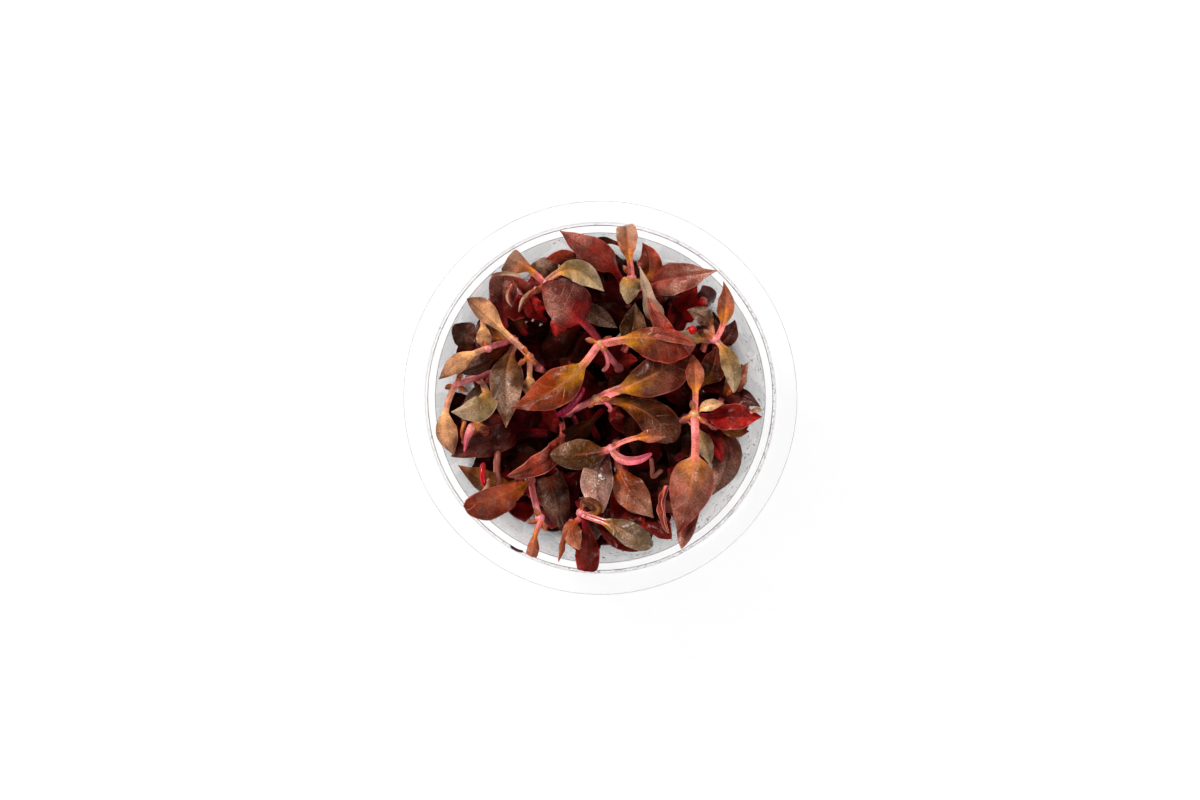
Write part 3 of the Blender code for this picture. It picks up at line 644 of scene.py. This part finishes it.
def add_blade(shape, points, uv):
    """The upper face and the underside of a blade, and the narrow rim that joins them."""
    normal = unit(np.cross(np.gradient(points, axis=1), np.gradient(points, axis=0)) + 1e-9)
    top = points + normal * (BLADE_THICKNESS / 2)
    under = points - normal * (BLADE_THICKNESS / 2)
    shape.add_grid(top, uv, 0, flip=True)
    shape.add_grid(under, uv, 1)
    rims = [np.vstack([grid[:, 0], grid[::-1, -1], grid[:1, 0]]) for grid in (top, under, uv, uv)]
    shape.add_grid(np.stack(rims[:2], axis=1), np.stack(rims[2:], axis=1), 0)


def add_leaf(shape, leaf, seed, rows=48, columns=15, ribs=36, sides=10):
    """A blade that narrows into its stalk, and the round stalk that runs on under it as its midrib."""
    rng = np.random.default_rng(seed)
    root = curve(*STEMS[leaf.root], leaf.up) if isinstance(leaf.root, str) else leaf.root
    path = path_through(root, leaf.middle, leaf.tip, 160)
    share = np.linspace(0, 1, len(path))
    chord = path[-1] - path[0]
    sway = rng.uniform(-SWAY, SWAY) * np.linalg.norm(chord)
    path += unit(np.cross(chord, UP)) * (sway * np.sin(math.pi * share) ** 2)[:, None]
    side, out = leaf_frames(path, leaf, share)

    along = np.linspace(0.02, 1, rows)
    u = np.clip((along - leaf.stalk) / (1 - leaf.stalk), 0, 1)
    v = np.where(u > 0, BLADE_STARTS + (1 - BLADE_STARTS) * u, BLADE_STARTS * along / leaf.stalk)
    a = np.linspace(-1, 1, columns)
    stalk_half = STALK_WIDTH / 2 * math.sqrt(min(leaf.width, 10) / 10)
    half, fullness = blade_widths(leaf, u, stalk_half)
    lateral, lift = blade_relief(leaf, rng, u, a, half, fullness)
    spine, across, upward = (between(line, share, along) for line in (path, side, out))
    jag = 1 + EDGE_JAG * waver(spine, JAG_SIZE, seed + 7)[:, None]
    points = spine[:, None] + across[:, None] * (lateral * jag * np.where(a < 0, *leaf.halves))[:, :, None]
    lift += CREASE_HEIGHT * waver(points, CREASE_SIZE, seed) * fullness
    points += upward[:, None] * lift[:, :, None]
    add_blade(shape, kept_inside(points, WALL_GAP), uv_grid((a * leaf.pale + 1) / 2, v))

    rib = np.linspace(0, RIB_END, ribs)
    on_blade = np.clip((rib - leaf.stalk) / (RIB_END - leaf.stalk), 0, 1)
    radii = stalk_half * 0.65 * (1 - on_blade) ** 1.3 + MIDRIB_END_RADIUS
    radii[:2] *= ROOT_SWELLS
    sink = 0.15 + 0.15 * smooth_step(rib, leaf.stalk, leaf.stalk + 0.15)
    rise = np.interp(rib, along, lift[:, columns // 2]) - radii * 0.75 - sink
    centre = between(path, share, rib) + between(out, share, rib) * rise[:, None]
    add_tube(shape, kept_inside(centre, 2 * WALL_GAP), radii, 2, sides=sides)


class Nodes:
    """A tree of shader nodes. A value is a number, a colour or vector, or the output of another node."""

    def __init__(self, tree):
        self.nodes, self.links = tree.nodes, tree.links

    def fill(self, node, values):
        """Puts each value into the node's input of that name or number."""
        for place, value in values.items():
            socket = node.inputs[place]
            if isinstance(value, (int, float)):
                socket.default_value = value
            elif isinstance(value, tuple):
                socket.default_value = (*value, 1) if socket.type == "RGBA" else value
            else:
                self.links.new(value, socket)
        return node

    def place(self):
        return self.nodes.new("ShaderNodeTexCoord").outputs["Object"]

    def uv(self):
        made = self.nodes.new("ShaderNodeUVMap")
        made.uv_map = "Leaf"
        return made.outputs["UV"]

    def split(self, vector):
        return self.fill(self.nodes.new("ShaderNodeSeparateXYZ"), {0: vector}).outputs

    def noise(self, vector, scale, detail=3.0):
        values = {"Vector": vector, "Scale": scale, "Detail": detail, "Roughness": 0.55}
        return self.fill(self.nodes.new("ShaderNodeTexNoise"), values).outputs["Fac"]

    def maths(self, kind, *values):
        made = self.nodes.new("ShaderNodeMath")
        made.operation = kind
        return self.fill(made, dict(enumerate(values))).outputs[0]

    def product(self, first, *others):
        for other in others:
            first = self.maths("MULTIPLY", first, other)
        return first

    def change(self, value, low, high, to_low=0.0, to_high=1.0):
        """Maps a range of values to another one, with soft ends."""
        made = self.nodes.new("ShaderNodeMapRange")
        made.interpolation_type = "SMOOTHSTEP"
        values = {"Value": value, "From Min": low, "From Max": high, "To Min": to_low, "To Max": to_high}
        return self.fill(made, values).outputs["Result"]

    def mix(self, share, first, second, kind="MIX"):
        made = self.nodes.new("ShaderNodeMix")
        made.data_type = "RGBA"
        made.blend_type = kind
        return self.fill(made, {0: share, 6: first, 7: second}).outputs[2]

    def ramp(self, value, stops):
        made = self.nodes.new("ShaderNodeValToRGB")
        elements = made.color_ramp.elements
        while len(elements) < len(stops):
            elements.new(0.5)
        for element, (place, colour) in zip(elements, stops):
            element.position = place
            element.color = (*colour, 1)
        return self.fill(made, {"Fac": value}).outputs["Color"]

    def bump(self, height, strength, distance):
        values = {"Height": height, "Strength": strength, "Distance": distance}
        return self.fill(self.nodes.new("ShaderNodeBump"), values).outputs["Normal"]


def new_material(name):
    """A new material, its nodes and its shader."""
    made = bpy.data.materials.new(name)
    made.use_nodes = True
    return made, Nodes(made.node_tree), made.node_tree.nodes["Principled BSDF"]


def linear(colour):
    """A colour that is written in thousandths."""
    return tuple(part / 1000 for part in colour)


def blade_shine(look):
    """How much a blade mirrors: least on leaves deep in the cup, where a haze would show as grey."""
    if look.startswith("deep"):
        return 0.05
    if look in WET_LOOKS:
        return 0.6
    return 0.14 if look in DARK_LOOKS else 0.2


def side_veins(tree, across, along):
    """Slanted lines from the midrib, faint at the edge and left out on the stalk."""
    turns = tree.product(tree.maths("SUBTRACT", along, BLADE_STARTS), SIDE_VEINS / (1 - BLADE_STARTS))
    turns = tree.maths("MULTIPLY_ADD", across, -VEIN_SLANT, turns)
    line = tree.change(tree.maths("PINGPONG", turns, 0.5), 0.0, 0.1, 1.0, 0.0)
    inner = tree.change(across, 0.5, 0.95, 1.0, 0.0)
    return tree.product(line, inner, tree.change(along, 0.3, 0.4))


@cache
def leaf_material(name, look, stalk):
    """A blade's face: colours along and across it, a painted light half and painted shade on the other,
    midrib, side veins, mottling, an edge that is in part a painted rim highlight, a painted silvery sheen
    and a wet gloss.
    """
    *colours, painted_sheen_cover, _ = LOOKS[look]
    base, middle, tip, edge, stalk = (linear(colour) for colour in (*colours, stalk))
    made, tree, shader = new_material(name)
    split = tree.split(tree.uv())
    along = split["Y"]
    place = tree.place()
    across = tree.product(tree.maths("ABSOLUTE", tree.maths("SUBTRACT", split["X"], 0.5)), 2)
    blotch = tree.noise(place, 260, 4)
    grain = tree.noise(place, 2600, 2)
    outward = tree.product(across, tree.change(along, 0.2, 0.5))
    spread = tree.maths("MULTIPLY_ADD", outward, 0.24, along)
    spread = tree.maths("SUBTRACT", tree.maths("MULTIPLY_ADD", blotch, 0.3, spread), 0.26)
    colour = tree.ramp(spread, ((0.03, stalk), (0.24, base), (0.52, middle), (0.92, tip)))
    mottle = tree.change(tree.noise(place, 330), 0.3, 0.7, 0.7, 1.35)
    # Painted light and shade on the fold: one half of the blade lighter, the other darker
    painted_fold_shading = tree.change(split["X"], 0.45, 0.55, 0.76, 1.2)
    speckle = tree.change(grain, 0.35, 0.65, 0.8, 1.2)
    colour = tree.mix(1.0, colour, tree.product(mottle, painted_fold_shading, speckle), "MULTIPLY")
    vein = side_veins(tree, across, along)
    colour = tree.mix(tree.product(vein, 0.22), colour, base)
    rib = tree.product(tree.change(across, 0.02, 0.1, 1.0, 0.0), tree.change(along, 0.45, 0.85, 0.45, 0.12))
    colour = tree.mix(rib, colour, tree.mix(along, stalk, base))
    # The edge: its own paler margin colour, and in part a painted rim highlight
    colour = tree.mix(tree.product(tree.change(across, 0.88, 1.0), 0.75), colour, edge)
    # Painted silvery sheen of fine hairs, in patches, towards the tip and more on the painted light half
    painted_sheen_share = tree.product(
        tree.change(grain, 0.36, 0.64, 0.3, 1.0),
        tree.change(painted_fold_shading, 0.76, 1.2, 0.6, 1.5),
        tree.change(tree.noise(place, 170, 2), 0.38, 0.62, 0.1, 1.4),
        tree.change(along, 0.3, 0.75, 0.1, 1.2),
        painted_sheen_cover,
    )
    relief = tree.maths("MULTIPLY_ADD", vein, -0.6, tree.maths("MULTIPLY_ADD", grain, 0.5, blotch))
    tree.fill(shader, {
        "Base Color": tree.mix(painted_sheen_share, colour, linear(PAINTED_SHEEN_COLOUR)),
        "Roughness": tree.change(tree.noise(place, 300), 0.4, 0.6, 0.13, 0.34),
        "Normal": tree.bump(relief, 0.5, 0.0004),
        "Specular IOR Level": blade_shine(look),
    })
    return made


@cache
def stalk_material(kind):
    """A stem or stalk: colour from one end to the other, streaks along it and a soft wet gloss."""
    made, tree, shader = new_material("stalk_" + kind)
    uv, place = tree.uv(), tree.place()
    colour = tree.mix(tree.split(uv)["Y"], *(linear(end) for end in STALK_COLOURS[kind][:2]))
    stretch = tree.fill(tree.nodes.new("ShaderNodeMapping"), {"Scale": (24, 3, 1), "Vector": uv})
    streaks = tree.change(tree.noise(stretch.outputs["Vector"], 1.0, 2), 0.3, 0.7, 0.75, 1.3)
    gloss = (0.05, 0.16) if kind == "red" else (0.2, 0.42)
    tree.fill(shader, {
        "Base Color": tree.mix(1.0, colour, streaks, "MULTIPLY"),
        "Roughness": tree.change(tree.noise(place, 500), 0.35, 0.65, *gloss),
        "Normal": tree.bump(tree.noise(place, 1500), 0.4, 0.0003),
        "Subsurface Weight": 0.25,
        "Subsurface Radius": (0.0012, 0.0004, 0.0003),
        "Subsurface Scale": 1.0,
    })
    return made


def leaf_looks(look, stalk=None):
    """The materials of a leaf: upper face, underside and stalk, of another kind where one is given."""
    kind = "crimson" if look in DARK_LOOKS else PALE_STALKS.get(look, "pink")
    face = leaf_material("blade_" + look, look, STALK_COLOURS[kind][2])
    under = leaf_material(*UNDERSIDES[look in DARK_LOOKS])
    return [face, under, stalk_material(stalk or kind)]


def clear_material(name, transmission, ior, roughness, ripple):
    """A clear material; ripple is the scale, detail, strength and depth of its uneven surface."""
    made, tree, shader = new_material(name)
    tree.fill(shader, {
        "Base Color": WHITE,
        "Transmission Weight": transmission,
        "IOR": ior,
        "Roughness": roughness,
        "Normal": tree.bump(tree.noise(tree.place(), *ripple[:2]), *ripple[2:]),
    })
    return made


def gel_material():
    made, tree, shader = new_material("gel")
    cloud = tree.noise(tree.place(), 90, 4)
    tree.fill(shader, {
        "Base Color": tree.mix(cloud, (0.80, 0.70, 0.66), (0.90, 0.84, 0.82)),
        "Transmission Weight": 0.45,
        "IOR": 1.34,
        "Roughness": 0.25,
        "Normal": tree.bump(cloud, 0.3, 0.0008),
    })
    return made


def floor_material():
    made, tree, shader = new_material("pale_floor")
    tree.fill(shader, {
        "Base Color": tree.mix(tree.noise(tree.place(), 40, 4), (0.19, 0.19, 0.192), (0.21, 0.21, 0.212)),
        "Roughness": 0.9,
        "Emission Color": WHITE,
        "Emission Strength": FLOOR_GLOW,
    })
    return made


def keep(piece, slot, *nodes):
    """Makes a piece part of the object and hides the CAD nodes that it stands for. slot is not used."""
    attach(piece, "root")
    if nodes:
        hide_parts(*nodes)


def keep_leaves(name, shape, look, stalk=None, nodes=()):
    """Makes a piece of leaves of one look; it passes on the record's slot for that look, which keep does not
    use.
    """
    keep(shape.build(name, leaf_looks(look, stalk)), "leaf_" + LOOKS[look][-1], *nodes)


def rounded(corners, reach, steps=4):
    """The corners of a profile, each cut back by up to reach and joined by a curve."""
    corners = [np.array(corner, float) for corner in corners]
    t = np.arange(steps + 1)[:, None] / steps
    points = [corners[0]]
    for before, corner, after in zip(corners, corners[1:], corners[2:]):
        back, ahead = before - corner, after - corner
        cut = min(reach, np.linalg.norm(back) * 0.45, np.linalg.norm(ahead) * 0.45)
        points.extend(quadratic(corner + unit(back) * cut, corner, corner + unit(ahead) * cut, t))
    return np.array([*points, corners[-1]])


def lathe(name, profile, material):
    """Turns a profile of (radius, height) that starts and ends on the axis."""
    shape = Shape()
    turn = full_turn(ROUND_SIDES)
    radius, height = profile[1:-1, 0, None], profile[1:-1, 1, None]
    points = np.stack(np.broadcast_arrays(radius * np.cos(turn), radius * np.sin(turn), height), axis=2)
    shape.add_grid(points, uv_grid(turn / math.tau, np.linspace(0, 1, len(points))), 0, closed=True)
    shape.add_fan(points[0], (0, 0, profile[0][1]), 0, flip=True)
    shape.add_fan(points[-1], (0, 0, profile[-1][1]), 0)
    piece = shape.build(name, [material])
    weld = piece.modifiers.new("Weld", "WELD")
    weld.merge_threshold = 0.00001
    return piece


def make_cup():
    ring_outside = FOOT_RADIUS + 0.4
    flange_foot = CUP_HEIGHT - FLANGE_THICKNESS
    corners = (
        (0, FOOT_RING_HEIGHT),
        (ring_outside - FOOT_RING_WIDTH - 0.8, FOOT_RING_HEIGHT),
        (ring_outside - FOOT_RING_WIDTH, 0),
        (ring_outside, 0),
        (FOOT_RADIUS + WALL, 0.8),
        (wall_radius(LEDGE_HEIGHT) + WALL, LEDGE_HEIGHT - WALL),
        (COLLAR_FOOT_RADIUS + WALL, LEDGE_HEIGHT - 0.4),
        (COLLAR_TOP_RADIUS + WALL, flange_foot - 0.7),
        (COLLAR_TOP_RADIUS + 1.1, flange_foot),
        (FLANGE_RADIUS, flange_foot),
        (FLANGE_RADIUS, CUP_HEIGHT),
        (COLLAR_TOP_RADIUS + 0.7, CUP_HEIGHT),
        (COLLAR_TOP_RADIUS, CUP_HEIGHT - 0.7),
        (COLLAR_FOOT_RADIUS, LEDGE_HEIGHT + 0.9),
        (wall_radius(LEDGE_HEIGHT), LEDGE_HEIGHT),
        (FOOT_RADIUS, FLOOR_HEIGHT + 1),
        (FOOT_RADIUS - 1, FLOOR_HEIGHT),
        (0, FLOOR_HEIGHT),
    )
    plastic = clear_material("clear_plastic", 0.97, 1.29, 0.06, (120, 2, 0.15, 0.0002))
    keep(lathe("clear_cup", rounded(corners, 0.8, 6), plastic), "clear_plastic", "cup")


def make_gel():
    """The gel, a hair clear of the cup, with a surface that climbs to the wall."""
    top = wall_radius(GEL_HEIGHT)
    foot = FLOOR_HEIGHT + 0.02
    corners = (
        (0, foot),
        (FOOT_RADIUS - 1.1, foot),
        (FOOT_RADIUS - 0.05, FLOOR_HEIGHT + 1.05),
        (top - 0.05, GEL_HEIGHT),
        (top - 0.4, GEL_HEIGHT - 0.1),
        (top - 1.6, GEL_HEIGHT - 0.7),
        (0, GEL_HEIGHT - 0.8),
    )
    keep(lathe("gel_block", rounded(corners, 0.6), gel_material()), "gel", "nutrient_gel")


def make_stems():
    for number, name in enumerate(STEMS):
        path = path_through(*STEMS[name], STEM_ROWS)
        share = np.linspace(0, 1, len(path))
        radii = STEM_RADIUS * (1.15 - 0.2 * share)
        for node in STEM_NODES:
            radii += (NODE_RADIUS - STEM_RADIUS) * np.exp(-(((share - node) / NODE_REACH) ** 2))
        shape = Shape()
        add_tube(shape, path, radii, 0, sides=14, lumps=0.015, seed=number)
        keep(shape.build("stem_piece_" + name, [stalk_material("pink")]), "stem", "stem_" + name)


def make_leaves():
    for seed, (name, leaf) in enumerate((LEAVES | MORE_LEAVES).items(), 1):
        shape = Shape()
        add_leaf(shape, leaf, seed)
        nodes = ["leaf_" + name] if name in LEAVES else []
        keep_leaves("leaf_piece_" + name, shape, leaf.look, nodes=nodes)


def make_buds():
    """The swollen top node of each stem and the small leaves on it."""
    rng = random.Random(3)
    along = np.linspace(-1, 1, 12)
    for name, (kind, radius, leaflets) in BUDS.items():
        path = path_through(*STEMS[name], STEM_ROWS)
        top = path[-1]
        centre = top + unit(top - path[-4]) * (along[:, None] - 0.4) * radius * 1.1
        radii = radius * np.sqrt(1.05 - along**2)
        shape = Shape()
        add_tube(shape, centre, radii, 2, sides=14, lumps=0.05, seed=int(radius * 10))
        for number in range(leaflets):
            out = level(math.tau * (number + rng.random()) / leaflets)
            length = rng.uniform(*LEAFLET_LENGTHS)
            root, tip = top + out * radius * 0.6, top + out * (radius + length) + UP * 0.4
            leaf = Leaf(root, (root + tip) / 2 + UP * 0.8, tip, LEAFLET_WIDTH, "orange", 0.15)
            add_leaf(shape, leaf, 40 * number, rows=16, columns=7, ribs=8, sides=6)
        keep(shape.build("top_node_" + name, leaf_looks("orange", kind)), "stem")


def make_shoots():
    for number, (name, (route, radius, kind)) in enumerate(SHOOTS.items()):
        path = path_through(*route, 24)
        radii = radius * (1.01 - np.linspace(-1, 1, len(path)) ** 8) ** 0.5
        shape = Shape()
        add_tube(shape, path, radii, 0, lumps=0.03, seed=100 + number)
        keep(shape.build("shoot_" + name, [stalk_material(kind)]), "stem")


def seeded_leaf(rng, root, heading, length, look):
    """A leaf that heads one way from its root, held off the cup's wall."""
    direction = level(heading)
    middle = root + direction * length * 0.55 + UP * rng.uniform(1, 5)
    tip = root + direction * length + UP * rng.uniform(-4, 4)
    for point in (middle, tip):
        limit = wall_radius(min(point[2], 46)) - 2.5
        point[:2] *= min(1, limit / math.hypot(point[0], point[1]))
    width, fold, roll = rng.uniform(6, 9.5), rng.uniform(5, 25), rng.uniform(-30, 30)
    return Leaf(root, middle, tip, width, look, 0.25, fold, roll)


def make_lower_leaves():
    """Seeded leaves deep in the cup, darkened as painted shade, which fill the dark between the upper ones.
    """
    rng = random.Random(5)
    for look, count in LOWER_LEAVES.items():
        shape = Shape()
        for number in range(count):
            angle, distance = rng.uniform(0, math.tau), LOWER_REACH * math.sqrt(rng.random())
            root = level(angle) * distance + UP * rng.uniform(*LOWER_HEIGHTS)
            heading, length = rng.uniform(0, math.tau), rng.uniform(*LOWER_LENGTHS)
            leaf = seeded_leaf(rng, root, heading, length, look)
            add_leaf(shape, leaf, 500 + number, rows=20, columns=9, ribs=10, sides=6)
        keep_leaves("lower_leaves_" + look, shape, look, "crimson")


def make_wall_leaves():
    """Seeded leaves at middle height round the wall, left out where the photograph shows gaps."""
    rng = random.Random(8)
    shapes = {look: Shape() for look in WALL_LOOKS}
    for number in range(WALL_LEAVES):
        degrees = 360 * (number + rng.uniform(-0.4, 0.4)) / WALL_LEAVES
        if any(low < degrees < high for low, high in WALL_GAPS):
            continue
        look = WALL_LOOKS[rng.randrange(len(WALL_LOOKS))]
        angle = math.radians(degrees)
        root = level(angle) * rng.uniform(*WALL_REACH) + UP * rng.uniform(*WALL_HEIGHTS)
        heading = angle + rng.choice((-1, 1)) * rng.uniform(0.1, 1.4)
        leaf = seeded_leaf(rng, root, heading, rng.uniform(*WALL_LENGTHS), look)
        add_leaf(shapes[look], leaf, 900 + number, rows=24, columns=11, ribs=12, sides=6)
    for look, shape in shapes.items():
        keep_leaves("wall_leaves_" + look, shape, look, "crimson")


def add_droplet(shape, centre, outward, size):
    """A flat dome of water that faces the middle of the cup, its foot a little way into the wall."""
    turns = full_turn(8)[:, None]
    around = np.cross(UP, outward)
    rings = [
        centre - outward * (size * DROP_FLATNESS * math.sin(rise) - DROP_SINK)
        + size * math.cos(rise) * (np.cos(turns) * around + np.sin(turns) * UP)
        for rise in np.linspace(0.05, 0.95, 4) * math.pi / 2
    ]
    shape.add_grid(np.stack(rings), np.zeros((len(rings), len(turns), 2)), 0, closed=True)
    shape.add_fan(rings[0], centre + outward * DROP_SINK, 0, flip=True)
    shape.add_fan(rings[-1], centre - outward * size * DROP_FLATNESS, 0)


def make_droplets():
    """Condensation on the inside of the collar and of the wall, thickest at the front right."""
    rng = random.Random(11)
    shape = Shape()
    for number in range(COLLAR_DROPS + WALL_DROPS):
        outward = level(rng.gauss(DROPS_HEADING, DROPS_SPREAD))
        if number < COLLAR_DROPS:
            height = rng.uniform(*COLLAR_DROP_HEIGHTS)
            radius = slope(height, *COLLAR_SLOPE, COLLAR_FOOT_RADIUS, COLLAR_TOP_RADIUS)
        else:
            height = rng.uniform(*WALL_DROP_HEIGHTS)
            radius = wall_radius(height)
        size = min(rng.expovariate(1 / DROP_MEAN) + DROP_LEAST, DROP_MOST)
        add_droplet(shape, outward * radius + UP * height, outward, size)
    water = clear_material("condensation", 0.8, 1.33, 0.0, (900, 1, 0.05, 0.0001))
    keep(shape.build("condensation_drops", [water]), "clear_plastic")


def make_world():
    """A tent of pale light, bright round the horizon and dim overhead."""
    world = bpy.data.worlds.new("studio")
    world.use_nodes = True
    tree = Nodes(world.node_tree)
    height = tree.split(tree.nodes.new("ShaderNodeTexCoord").outputs["Generated"])["Z"]
    glow = tree.change(height, *TENT_HEIGHTS, *TENT_GLOWS)
    tree.fill(tree.nodes["Background"], {"Color": WHITE, "Strength": glow})
    bpy.context.scene.world = world


def make_stage():
    bpy.ops.mesh.primitive_plane_add(size=FLOOR_SIZE, location=(0, 0, -0.0002))
    floor = bpy.context.object
    floor.name = "floor"
    floor.data.materials.append(floor_material())
    make_world()
    for name, (place, power) in LAMPS.items():
        data = bpy.data.lights.new(name, "AREA")
        data.shape = "DISK"
        data.size = LAMP_SIZE
        data.energy = power
        lamp = add_object(name, data)
        lamp.location = place
        x, y, z = np.array(LAMP_AIM) - np.array(place)
        lamp.rotation_euler = (math.atan2(math.hypot(x, y), -z), 0, math.atan2(y, x) - math.pi / 2)


def make_camera():
    data = bpy.data.cameras.new("photo_camera")
    data.lens = CAMERA_LENS
    data.sensor_width = 36
    data.clip_start = 0.01
    camera = add_object("photo_camera", data)
    camera.location = (CAMERA_PLACE[0] * MM, CAMERA_PLACE[1] * MM, (CUP_HEIGHT + CAMERA_ABOVE_RIM) * MM)
    bpy.context.scene.camera = camera
    settings = bpy.context.scene.view_settings
    settings.view_transform = "Standard"
    settings.look = "Medium High Contrast"


make_camera()
make_stage()
make_cup()
make_gel()
make_stems()
make_leaves()
make_buds()
make_shoots()
make_lower_leaves()
make_wall_leaves()
make_droplets()
